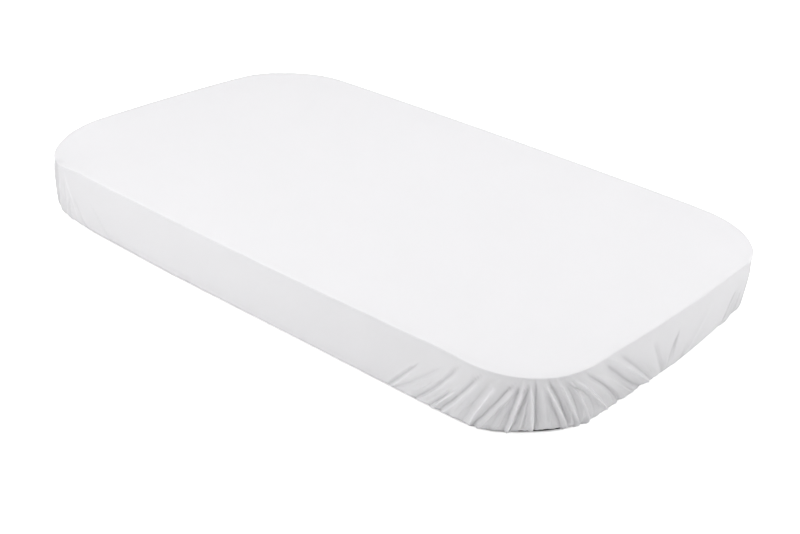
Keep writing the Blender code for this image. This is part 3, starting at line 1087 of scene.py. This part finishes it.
def build_floor():
    """A pale table that turns pure white far away, so that it has no horizon."""
    bpy.ops.mesh.primitive_plane_add(size=FLOOR_SIDE)
    floor = bpy.context.object
    floor.name = "floor"
    made = Nodes("pale floor")
    made.matte(1.0, 0.0)
    made.feed(made.shader, "Base Color", FLOOR_WHITE)
    made.feed(made.shader, "Emission Color", PURE_WHITE)
    away = made.add("VectorMath", operation="LENGTH")
    made.feed(away, 0, made.add("TexCoord").outputs["Object"])
    step = made.add("MapRange", interpolation_type="SMOOTHSTEP")
    made.feed(step, "Value", away.outputs["Value"])
    made.feed(step, "From Min", FAR_WHITE_START)
    made.feed(step, "From Max", FAR_WHITE_FULL)
    made.feed(made.shader, "Emission Strength", step.outputs["Result"])
    floor.data.materials.append(made.material)


build_floor()
print(f"the floor is {FLOOR_SIDE} m wide and pure white from {FAR_WHITE_FULL} m out")

# %% The painted deep shade under the object
# The black ring on the floor is painted shade under the object.
DARK_INSET = 19.4 * MM  # the floor is dark from this far inside the rim, under the object
DARK_PER_LIFT = 1.9  # and so much further in for each millimetre that the hem is lifted
GAP_OUT = 8.0 * MM  # under the near corner's gathers the dark comes out by this much
GAP_ALONG = 20 * MM
GAP_REACH = 60 * MM
DARK_LEVEL = 0.03 * MM
DARK_WIDTH = 4 * MM
PAINTED_SHADE_COLOUR = (0.01, 0.01, 0.01, 1)


def floor_ring(outwards, level):
    """A ring on the floor, this far outside the edge of the painted shade under the object."""
    rings = []
    for corner in CORNERS:
        before, after = corner_ends(corner)
        along = stretch(-before, after, PAD_STEP / 2)
        rim, out = rim_points(corner, along)
        lift = pulled(bowed(rim), np.zeros(len(rim)))[:, 2]
        inset = DARK_INSET + DARK_PER_LIFT * lift
        if corner["name"] == "near":
            share = np.clip(1 - ((along - GAP_ALONG) / GAP_REACH) ** 2, 0, None)
            inset -= GAP_OUT * share**2
        points = bowed(rim - inset[:, None] * out) + outwards * out
        rings.append(np.concatenate([points, np.full((len(rim), 1), level)], -1))
    return np.concatenate(rings)


def build_painted_shade():
    """A black ring painted on the floor as the deep shade under the object. It shows where the hem is
    lifted.
    """
    dark = lofted("floor_shade", [floor_ring(out, DARK_LEVEL) for out in (0, -DARK_WIDTH)])
    made = Nodes("deep shade")
    made.matte(1.0, 0.0)
    made.feed(made.shader, "Base Color", PAINTED_SHADE_COLOUR)
    dark.data.materials.append(made.material)


build_painted_shade()

# %% The veil and the dome
VEIL_STRENGTH = 0.8
VEIL_STEPS = table(("out", "share"), ((0, 0.0), (3.5, 1.0), (1200, 1.0), (2600, 0.0)))  # out in mm
BACKDROP_RADIUS = 7.5
BACKDROP_STRENGTH = 1.0


def only_seen(piece):
    """Shows a piece to the camera, and lets it light and shade nothing."""
    piece.visible_diffuse = False
    piece.visible_glossy = False
    piece.visible_shadow = False


def build_veil():
    """A clear sheet round the object that glows: painted light that lifts the shade beside it."""
    rings = [floor_ring(step["out"] * MM, 2 * DARK_LEVEL) for step in VEIL_STEPS]
    veil = lofted("floor_veil", rings, filled=False)
    shares = np.concatenate([np.full(len(rings[0]), step["share"]) for step in VEIL_STEPS])
    veil.data.attributes.new("veil", "FLOAT", "POINT").data.foreach_set("value", shares)
    made = Nodes("white veil")
    light = made.add("Emission")
    made.feed(light, "Strength", made.maths("MULTIPLY", made.value_of("veil"), VEIL_STRENGTH))
    both = made.add("AddShader")
    made.feed(both, 0, light.outputs[0])
    made.feed(both, 1, made.add("BsdfTransparent").outputs[0])
    made.surface(both.outputs[0])
    veil.data.materials.append(made.material)
    only_seen(veil)


def build_backdrop():
    """A white dome far round the stage, so that low views also end in white."""
    bpy.ops.mesh.primitive_uv_sphere_add(radius=BACKDROP_RADIUS)
    dome = bpy.context.object
    dome.name = "backdrop"
    made = Nodes("white backdrop")
    light = made.add("Emission")
    made.feed(light, "Strength", BACKDROP_STRENGTH)
    made.surface(light.outputs[0])
    dome.data.materials.append(made.material)
    only_seen(dome)


build_veil()
build_backdrop()
print(f"the dome is {BACKDROP_RADIUS} m away")

# %% [markdown]
# ## The light
#
# The photograph is a bright product shot. Its top is even from end to end, so the main light
# is one large soft panel high overhead. Weaker panels stand low to the left and to the right,
# and little light comes from where the camera stands, which leaves the near corner darkest
# and its gathers clear. One more panel lights the back. Only the horizon of the sky is white:
# a sky that is white all over would wash the gathers out.

# %% The sky
HORIZON_WHITE = 0.10  # the sine of the height angle up to which the sky is white
HORIZON_END = 0.18
SKY_ABOVE = 0.0


def hang_sky():
    world = bpy.data.worlds.new("studio")
    bpy.context.scene.world = world
    world.use_nodes = True
    nodes, links = world.node_tree.nodes, world.node_tree.links
    way = nodes.new("ShaderNodeSeparateXYZ")
    links.new(nodes.new("ShaderNodeTexCoord").outputs["Generated"], way.inputs[0])
    rise = nodes.new("ShaderNodeMapRange")
    rise.interpolation_type = "SMOOTHSTEP"
    rise.inputs["From Min"].default_value = HORIZON_WHITE
    rise.inputs["From Max"].default_value = HORIZON_END
    rise.inputs["To Min"].default_value = 1.0
    rise.inputs["To Max"].default_value = SKY_ABOVE
    links.new(way.outputs["Z"], rise.inputs["Value"])
    links.new(rise.outputs["Result"], nodes["Background"].inputs["Strength"])
    nodes["Background"].inputs["Color"].default_value = PURE_WHITE


hang_sky()
print(f"the sky is white up to {math.degrees(math.asin(HORIZON_WHITE)):.0f} degrees above the horizon")

# %% The panels
PANELS = table(
    ("name", "x", "y", "z", "aim_x", "aim_y", "wide", "high", "watts"),
    (
        ("overhead", 0.0, 0.0, 2.8, 0.0, 0.0, 2.5, 2.5, 89.5),
        ("overhead left", -0.8, 0.0, 1.6, -0.2, 0.0, 1.0, 1.0, 3.7),
        ("left", -0.33, -1.43, 0.45, 0.05, -0.2, 0.9, 0.5, 6.35),
        ("right", 1.28, 0.68, 0.5, 0.35, 0.05, 0.8, 0.45, 3.3),
        ("right front", 1.35, 0.2, 0.4, 0.4, -0.05, 0.5, 0.3, 1.4),
        ("back", -0.3, 1.6, 0.45, -0.1, 0.2, 0.9, 0.5, 3.0),
    ),
)
AIM_HEIGHT = 0.05


def hang_panel(spec):
    panel = bpy.data.lights.new(spec["name"], "AREA")
    panel.shape = "RECTANGLE"
    panel.size = spec["wide"]
    panel.size_y = spec["high"]
    panel.energy = spec["watts"]
    light = bpy.data.objects.new(spec["name"], panel)
    bpy.context.scene.collection.objects.link(light)
    light.location = (spec["x"], spec["y"], spec["z"])
    way = Vector((spec["aim_x"], spec["aim_y"], AIM_HEIGHT)) - light.location
    light.rotation_euler = way.to_track_quat("-Z", "Y").to_euler()
    light.visible_camera = False


for spec in PANELS:
    hang_panel(spec)
bpy.context.scene.view_settings.view_transform = "Standard"
print("panels:", len(PANELS), "with", sum(spec["watts"] for spec in PANELS), "watts in all")

# %% [markdown]
# ## Handing over
#
# Each piece stands for its solid in the frame and rides on the one body there is. The cut
# of the sheet is worked out from the same sizes as its shape.

# %% The pieces and the frame
for piece, node, slot in (
    (cloth, "fitted_sheet", "white_cotton"),
    (pad, "mattress", "mattress_ticking"),
):
    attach(piece, "root")
    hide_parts(node)
    print(piece.name, "stands for", node)
